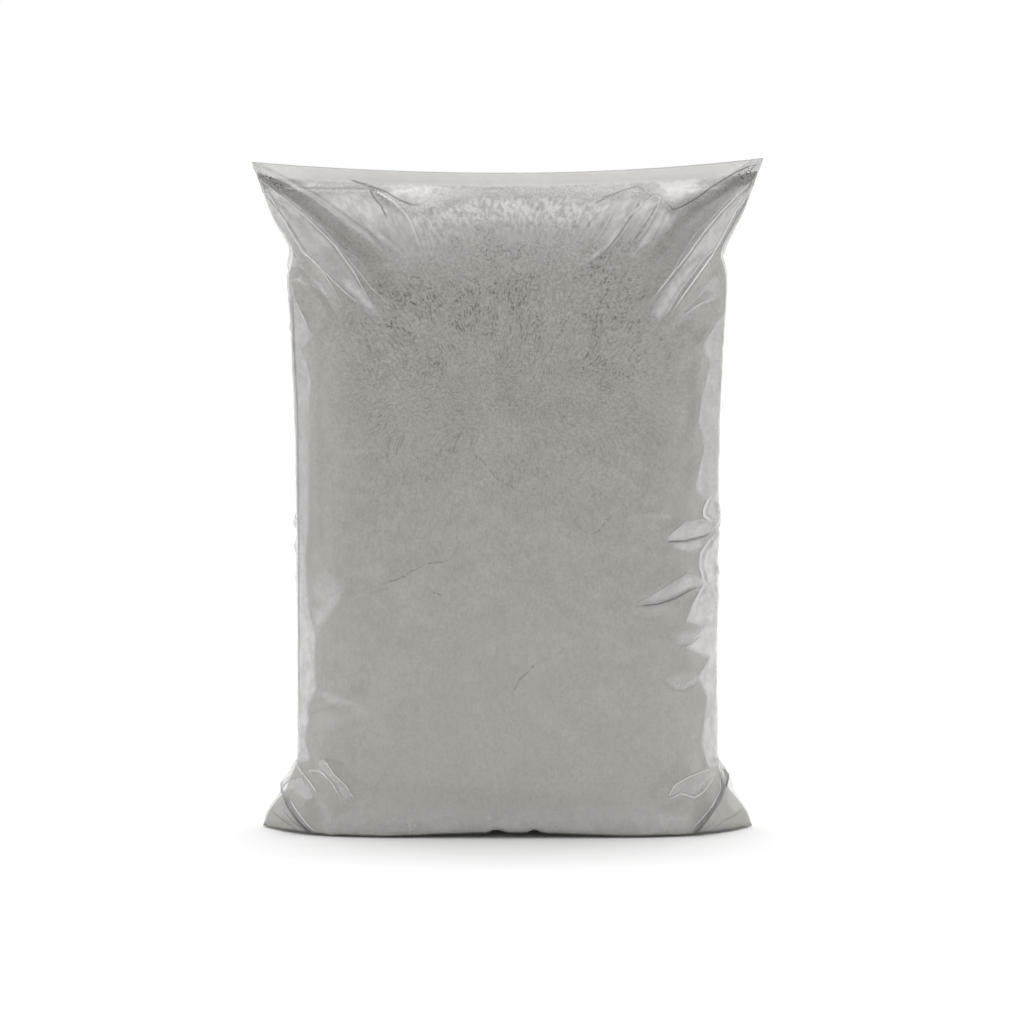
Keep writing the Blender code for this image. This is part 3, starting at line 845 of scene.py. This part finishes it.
def grid_object(name, points, masks, band=()):
    """A smooth mesh of the grid, closed round the tube and welded along its first and last rows.

    band is a further row that hangs from the first one, for the weld that is folded under the base.
    """
    rows, columns = points.shape[:2]
    index = np.arange(rows * columns).reshape(rows, columns)
    half = columns // 2
    for row in (0, -1):
        index[row, half + 1 :] = index[row, half - 1 : 0 : -1]
    right = np.roll(index, -1, axis=1)
    faces = np.stack([index[:-1], right[:-1], right[1:], index[1:]], axis=2).reshape(-1, 4)
    corners = points.reshape(-1, 3)
    values = {mask: numbers.reshape(rows * columns, -1) for mask, numbers in masks.items()}
    if len(band):
        hung = np.arange(half + 1) + rows * columns
        hanging = np.stack([index[0, :half], hung[:-1], hung[1:], index[0, 1 : half + 1]], axis=1)
        faces = np.concatenate([faces, hanging])
        corners = np.concatenate([corners, band])
        values = {mask: np.concatenate([numbers, numbers[: half + 1]]) for mask, numbers in values.items()}
    used = np.unique(faces)
    renumbered = np.zeros(len(corners), int)
    renumbered[used] = np.arange(len(used))
    mesh = bpy.data.meshes.new(name)
    mesh.from_pydata(corners[used].tolist(), [], renumbered[faces].tolist())
    for mask, numbers in values.items():
        wide = numbers.shape[1] == 3
        attribute = mesh.attributes.new(mask, "FLOAT_VECTOR" if wide else "FLOAT", "POINT")
        attribute.data.foreach_set("vector" if wide else "value", numbers[used].astype(np.float32).ravel())
    mesh.update()
    mesh.shade_smooth()
    obj = bpy.data.objects.new(name, mesh)
    bpy.context.scene.collection.objects.link(obj)
    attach(obj, "root")
    return obj


def powder_top(x):
    """The height of the powder's wavy upper edge."""
    line = np.array(POWDER_TOP, float) / 1000.0
    return np.interp(x, line[:, 0], line[:, 1])


def smoothed(values, passes):
    """Evens values out over the grid, which closes on itself round the tube."""
    for _ in range(passes):
        values = 0.5 * values + 0.25 * (np.roll(values, 1, axis=1) + np.roll(values, -1, axis=1))
        tall = np.concatenate([values[:1], values, values[-1:]])
        values = 0.5 * values + 0.25 * (tall[:-2] + tall[2:])
    return values


def lowest_near(values, reach):
    """The lowest of each value and its neighbours on the grid."""
    for _ in range(reach):
        values = np.minimum(values, np.minimum(np.roll(values, 1, axis=1), np.roll(values, -1, axis=1)))
        tall = np.concatenate([values[:1], values, values[-1:]])
        values = np.minimum(values, np.minimum(tall[:-2], tall[2:]))
    return values


def powder_lift(lift):
    """How proud the powder stands under a film this proud: it bridges the sharpest folds."""
    return np.minimum(smoothed(lowest_near(lift, 2), 6), lift)


def make_powder_points(points, normal, sink):
    """The powder's grid, sunk this far below the film's, up to its wavy upper edge."""
    surface = (points + normal * sink[..., None])[::2, ::2]
    columns = []
    half = surface.shape[1] // 2
    for c in range(surface.shape[1]):
        line = surface[:, c]
        facing = -1.0 if c < half else 1.0
        line[:, 1] = facing * np.maximum(facing * line[:, 1], 0.0)
        above = line[:, 2] - powder_top(line[:, 0])
        above[: len(line) // 2] = -1.0
        k = int(np.argmax(above > 0))
        t = above[k - 1] / (above[k - 1] - above[k])
        line = np.concatenate([line[:k], (line[k - 1] + t * (line[k] - line[k - 1]))[None]])
        along = distances_along(line)
        line = points_along(line, along, np.linspace(0.0, along[-1], POWDER_ROWS + 1))
        left = along[-1] * np.linspace(1.0, 0.0, POWDER_ROWS + 1)
        line[:, 1] *= np.sqrt(1.0 - (1.0 - np.minimum(left / POWDER_EDGE_RADIUS, 1.0)) ** 2)
        columns.append(line)
    return np.stack(columns, axis=1)


def flow_of(points):
    """Coordinates by the lines in which the powder slid down from the top: across, depth and along."""
    x, z = points[..., 0], points[..., 2]
    angle = np.arctan2(x, np.maximum(z - FLOW_CENTRE, 0.02))
    upper = smooth_step(FLOW_CENTRE + 0.02, FLOW_CENTRE + 0.10, z)
    across = upper * angle * FLOW_WIDTH + (1.0 - upper) * x
    along = upper * np.hypot(x, z - FLOW_CENTRE) * FLOW_STRETCH + (1.0 - upper) * z * FLOW_STRETCH
    return np.stack([across, points[..., 1], along], axis=2)


def crack_of(points):
    """The nearest crack: how far off on which side, how far along it, and whether it is near."""
    gap, signed, along, _ = nearest_of(points[..., 0], points[..., 2], CRACKS)
    near = (gap < CRACK_REACH) & (points[..., 1] < 0)
    return np.stack([signed, along, near.astype(float)], axis=2)


def arithmetic(operation, turned_round=False):
    """A method of Number that adds one node of arithmetic."""

    def method(self, *others):
        values = (*others, self) if turned_round else (self, *others)
        return self.nodes.math(operation, *values)

    return method


class Number:
    """A number or colour that a material works out at each point, for use in plain arithmetic."""

    def __init__(self, nodes, socket):
        self.nodes = nodes
        self.socket = socket

    def span(self, low, high, to_low=0.0, to_high=1.0):
        """The number carried smoothly from one range to another, and held at both ends."""
        values = {"Value": self, "From Min": low, "From Max": high, "To Min": to_low, "To Max": to_high}
        return self.nodes.add("MapRange", values, "Result", interpolation_type="SMOOTHSTEP")

    __add__ = __radd__ = arithmetic("ADD")
    __mul__ = __rmul__ = arithmetic("MULTIPLY")
    __sub__ = arithmetic("SUBTRACT")
    __rsub__ = arithmetic("SUBTRACT", turned_round=True)
    __truediv__ = arithmetic("DIVIDE")
    __abs__ = arithmetic("ABSOLUTE")
    at_least = arithmetic("MAXIMUM")
    at_most = arithmetic("MINIMUM")


class Nodes:
    """Adds the nodes of a material or of the room with short calls."""

    def __init__(self, tree):
        self.tree = tree

    def put(self, socket, value):
        """Links a socket or sets it."""
        if isinstance(value, Number):
            self.tree.links.new(value.socket, socket)
        elif socket.type == "RGBA":
            socket.default_value = (*value, 1.0)
        else:
            socket.default_value = value

    def add(self, kind, values, output, **settings):
        """Adds a node, puts the values into its inputs, and gives back one output."""
        node = self.tree.nodes.new("ShaderNode" + kind)
        for name, setting in settings.items():
            setattr(node, name, setting)
        for place, value in values.items():
            self.put(node.inputs[place], value)
        return Number(self, node.outputs[output])

    def end(self, node, values):
        """Puts values into the inputs of the node that the tree ends in."""
        for name, value in values.items():
            self.put(self.tree.nodes[node].inputs[name], value)

    def math(self, operation, *values):
        return self.add("Math", dict(enumerate(values)), 0, operation=operation)

    def place(self, kind):
        return self.add("TexCoord", {}, kind)

    def noise(self, vector, scale, detail, roughness):
        values = {"Vector": vector, "Scale": scale, "Detail": detail, "Roughness": roughness}
        return self.add("TexNoise", values, "Fac")

    def mask(self, name, output="Fac"):
        return self.add("Attribute", {}, output, attribute_name=name)

    def split(self, vector):
        node = self.add("SeparateXYZ", {0: vector}, 0).socket.node
        return [Number(self, output) for output in node.outputs]

    def mix(self, share, first, second):
        """A colour between two others."""
        return self.add("Mix", {"Factor": share, 6: first, 7: second}, 2, data_type="RGBA")


def new_material(name):
    """A new material, and the means to add its nodes."""
    material = bpy.data.materials.new(name)
    material.use_nodes = True
    return material, Nodes(material.node_tree)


def powder_material():
    """Dry cement powder: matte warm grey, finely grained, with hairline cracks and dark specks."""
    material, n = new_material("tile_adhesive_powder")
    place = n.place("Object")
    flow = n.mask("flow", "Vector")
    crazed = n.mask("crazed")
    cloud = n.noise(place, 9.0, 2.0, 0.55)
    grain = n.noise(place, 560.0, 1.0, 0.6)
    fibre = n.noise(flow, 480.0, 2.0, 0.6)
    patch = n.noise(place, 34.0, 2.0, 0.65).span(0.43, 0.58)
    strokes = n.noise(flow, 620.0, 2.0, 0.65).span(0.54, 0.64) * crazed * (0.15 + patch * 0.95)
    bends = n.noise(flow, 150.0, 3.0, 0.65) - 0.5
    broken = n.noise(place, 85.0, 2.0, 0.6).span(0.48, 0.58)
    hair = abs(bends).span(0.0, 0.016, 1.0, 0.0) * grain.span(0.36, 0.52) * crazed * broken
    signed, along, near = n.split(n.mask("crack", "Vector"))
    line = abs(signed + bends * 0.006).span(0.0001, 0.0007, 1.0, 0.0)
    line = line * (1.0 - abs(along * 2.0 - 1.0)).span(0.0, 0.25)
    line = line * near.span(0.5, 0.9) * grain.span(0.38, 0.54)
    dark = (line * 0.65).at_least(hair * 0.9).at_least(strokes * 0.8)
    rough = 0.38 + crazed * 0.50
    colour = n.mix((cloud + crazed) * 0.5, POWDER_DARK, POWDER_PALE)
    colour = n.mix(patch * 0.12, colour, POWDER_SHADE)
    colour = n.mix(grain.span(0.35, 0.7, 0.0, 0.80) * rough, colour, POWDER_SHADE)
    colour = n.mix(fibre.span(0.45, 0.75, 0.0, 0.80) * rough, colour, POWDER_SHADE)
    colour = n.mix(dark, colour, POWDER_CRACK)
    n.end("Principled BSDF", {"Base Color": colour, "Roughness": 0.92, "Specular IOR Level": 0.2})
    return material


def crease_marks(n, name):
    """How one group of creases marks the film: a whitened ridge with a painted highlight, and painted shade.
    """
    signed, tone, width = n.split(n.mask(name, "Vector"))
    off = signed / width
    ridge = abs(off).span(0.25, 1.0, 1.0, 0.0)
    foot = off.span(0.8, 1.5) * off.span(1.5, 2.6, 1.0, 0.0)
    pale = tone.at_least(0.0)
    dark = ridge * (tone * -1.0).at_least(0.0)
    return ridge * pale, dark.at_least(foot * pale * 0.45)


def vent_holes(n, place):
    """0 inside the small round vents in a row under the back's top weld, and 1 elsewhere."""
    x, y, z = n.split(place)
    across = x - n.math("ROUND", x / VENT_SPACING) * VENT_SPACING
    up = z - VENT_HEIGHT
    off = n.math("SQRT", across * across + up * up)
    beyond = n.math("GREATER_THAN", abs(x), VENTS / 2 * VENT_SPACING)
    front = n.math("LESS_THAN", y, 0.0)
    return beyond.at_least(front).at_least(off.span(VENT_RADIUS - 0.0001, VENT_RADIUS + 0.0002))


def film_material():
    """Clear polyethylene film, dusty inside: glossy, milky where it stands off the powder, with painted
    light and shade.
    """
    material, n = new_material("clear_film")
    place = n.place("Object")
    gap, shade, weld, above, middle = [n.mask(name) for name in ("gap", "shade", "weld", "above", "middle")]
    cloud = n.noise(place, 26.0, 2.0, 0.6)
    clumps = n.noise(place, 75.0, 3.0, 0.7)
    speckle = n.noise(place, 560.0, 2.0, 0.7).span(0.48, 0.60)
    stretch = {0: n.mask("flow", "Vector"), 1: (1.6, 1.0, 0.45)}
    streak = n.noise(n.add("VectorMath", stretch, 0, operation="MULTIPLY"), 260.0, 2.0, 0.65)
    # Crease marks: whitening with a painted highlight on the ridges, and painted shade at their feet and in
    # the dark creases
    ridge_a, foot_a = crease_marks(n, "crease_a")
    ridge_b, foot_b = crease_marks(n, "crease_b")
    ridge, foot = ridge_a.at_least(ridge_b), foot_a.at_least(foot_b)
    rim = n.add("LayerWeight", {"Blend": 0.35}, "Facing").span(0.55, 0.98)

    bare = (above + (clumps - 0.5) * 0.030).span(0.0, 0.012)
    coated = (1.0 - bare) * above.span(-0.014, -0.002) * (1.0 - weld)
    milk = above.span(-0.070, -0.006) * streak.span(0.32, 0.68, middle.span(0.0, 1.0, 0.75, 0.42), 1.0)
    # Painted light on the lit facets, sides and bottom, and the milky patch under the top's middle; pale
    # gathers it with the film's real milkiness
    light_and_milk = shade * clumps.span(0.3, 0.7, 0.65, 1.0)
    pale = (gap * 0.10).at_least(milk * 0.85).at_least(light_and_milk).at_least(weld * 0.85).at_least(bare * 0.62)
    # Painted shade where the shade mask is below zero, held low at the ear tips where dust specks darken the
    # film instead; dark adds the creases' painted shade
    shade_and_dust = (shade * -1.0).at_least(0.0)
    tip = shade_and_dust.span(0.5, 0.9)
    shade_and_dust = shade_and_dust.at_most(tip.span(0.0, 1.0, 0.35, 0.12))
    pale = pale * (1.0 - shade_and_dust * 2.0)
    dark = shade_and_dust.at_least(tip * speckle).at_least(foot)

    colour = n.mix(pale, FILM_DUSTY, FILM_MILK_AND_LIGHT)
    colour = n.mix(coated * 0.9, colour, FILM_COATED)
    colour = n.mix(ridge, colour, FILM_WHITENING_AND_HIGHLIGHT)
    colour = n.mix(dark, colour, FILM_SHADE_AND_DUST)
    alpha = cloud.span(0.3, 0.7, 0.20, 0.28) + rim * 0.30 + pale * 0.50 + bare * 0.08
    alpha = alpha.at_least(coated * speckle.span(0.0, 1.0, 0.70, 0.95))
    alpha = alpha.at_least(ridge * 0.65).at_least(dark * 0.85).at_most(0.95)
    height = streak * above.span(-0.045, -0.010, 0.0, 0.16) + cloud * 0.10 + (ridge - foot) * 0.48
    values = {"Base Color": colour, "Alpha": alpha * vent_holes(n, place), "IOR": 2.1}
    values["Roughness"] = cloud.span(0.3, 0.7, 0.10, 0.18)
    values["Normal"] = n.add("Bump", {"Height": height, "Distance": 0.0010}, "Normal")
    n.end("Principled BSDF", values)
    return material


def make_world():
    """A white room: brightest overhead, bright at both sides, and dim before and behind the sack."""
    world = bpy.data.worlds.new("studio")
    bpy.context.scene.world = world
    world.use_nodes = True
    n = Nodes(world.node_tree)
    strength = ROOM_DIM
    for way, begins, full, brightness in ROOM_PARTS:
        cosine = n.add("VectorMath", {0: n.place("Generated"), 1: way}, "Value", operation="DOT_PRODUCT")
        strength = abs(cosine).span(begins, full, 0.0, brightness) + strength
    seen = n.add("LightPath", {}, "Is Camera Ray")
    strength = n.add("Mix", {"Factor": seen, "A": strength, "B": 1.0}, "Result")
    n.end("Background", {"Color": (1.0, 1.0, 1.0), "Strength": strength})


def area_light(name, location, target, size, power):
    data = bpy.data.lights.new(name, "AREA")
    data.shape = "RECTANGLE"
    data.size, data.size_y = size
    data.energy = power
    lamp = bpy.data.objects.new(name, data)
    bpy.context.scene.collection.objects.link(lamp)
    lamp.location = location
    direction = Vector(target) - Vector(location)
    lamp.rotation_euler = direction.to_track_quat("-Z", "Y").to_euler()
    return lamp


def make_stage():
    bpy.ops.mesh.primitive_plane_add(size=40.0, location=(0, 0, FLOOR_HEIGHT))
    floor = bpy.context.object
    floor.name = "floor"
    material, n = new_material("floor_white")
    n.end("Principled BSDF", {"Base Color": FLOOR_WHITE, "Roughness": 1.0, "Specular IOR Level": 0.0})
    floor.data.materials.append(material)
    make_world()
    lamps = [area_light(*light) for light in LIGHTS]
    lamps[-1].visible_camera = False
    lamps[-1].visible_glossy = False
    bpy.context.scene.view_settings.view_transform = "Standard"


def make_sack():
    points, home, normal = make_film_points()
    lift = ((points - home) * normal).sum(axis=2)
    inner = powder_lift(lift)
    x, z = on_front(points)
    weld = np.zeros(x.shape)
    weld[0] = 1.0
    weld[-WELD_ROWS * 2**REFINEMENTS - 1 :] = 1.0
    upright = 1.0 - smooth_step(0.5, 0.9, -normal[..., 2])
    drawn = upright * (1.0 - (points[..., 1] > 0) * smooth_step(0.6, 0.9, np.abs(normal[..., 0])))
    masks = {
        "flow": flow_of(points),
        "gap": smooth_step(0.0004, 0.0035, lift - inner),
        "above": points[..., 2] - powder_top(points[..., 0]),
        "middle": 1.0 - smooth_step(0.05, 0.09, np.abs(points[..., 0])),
        # The film's painted light and painted shade, with dust at the ear tips and under the middle of the
        # top
        "shade": evened_at_sides(light_shade_and_dust_of(x, z), points, normal) * upright,
        "crease_a": crease_of(x, z, CREASES[0], drawn),
        "crease_b": crease_of(x, z, CREASES[1], drawn),
        "weld": weld,
    }
    seam = points[0, : points.shape[1] // 2 + 1]
    band = seam + np.array([0.0, WELD_HEIGHT, -HALF_WELD])
    film = grid_object("film", points, masks, band)
    film.data.materials.append(film_material())
    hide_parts("film_sack")

    points = make_powder_points(points, normal, inner - FILM_GAP - lift)
    x, z = np.abs(points[..., 0]), points[..., 2]
    crazed = 0.80 * smooth_step(0.23, 0.41, z) + 0.15 * smooth_step(0.13, 0.25, z)
    crazed *= 1.0 - 0.75 * smooth_step(0.08, 0.14, x)
    masks = {"flow": flow_of(points), "crazed": crazed, "crack": crack_of(points)}
    powder = grid_object("powder", points, masks)
    powder.data.materials.append(powder_material())
    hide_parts("adhesive_powder")


def main():
    make_camera()
    make_stage()
    make_sack()


main()
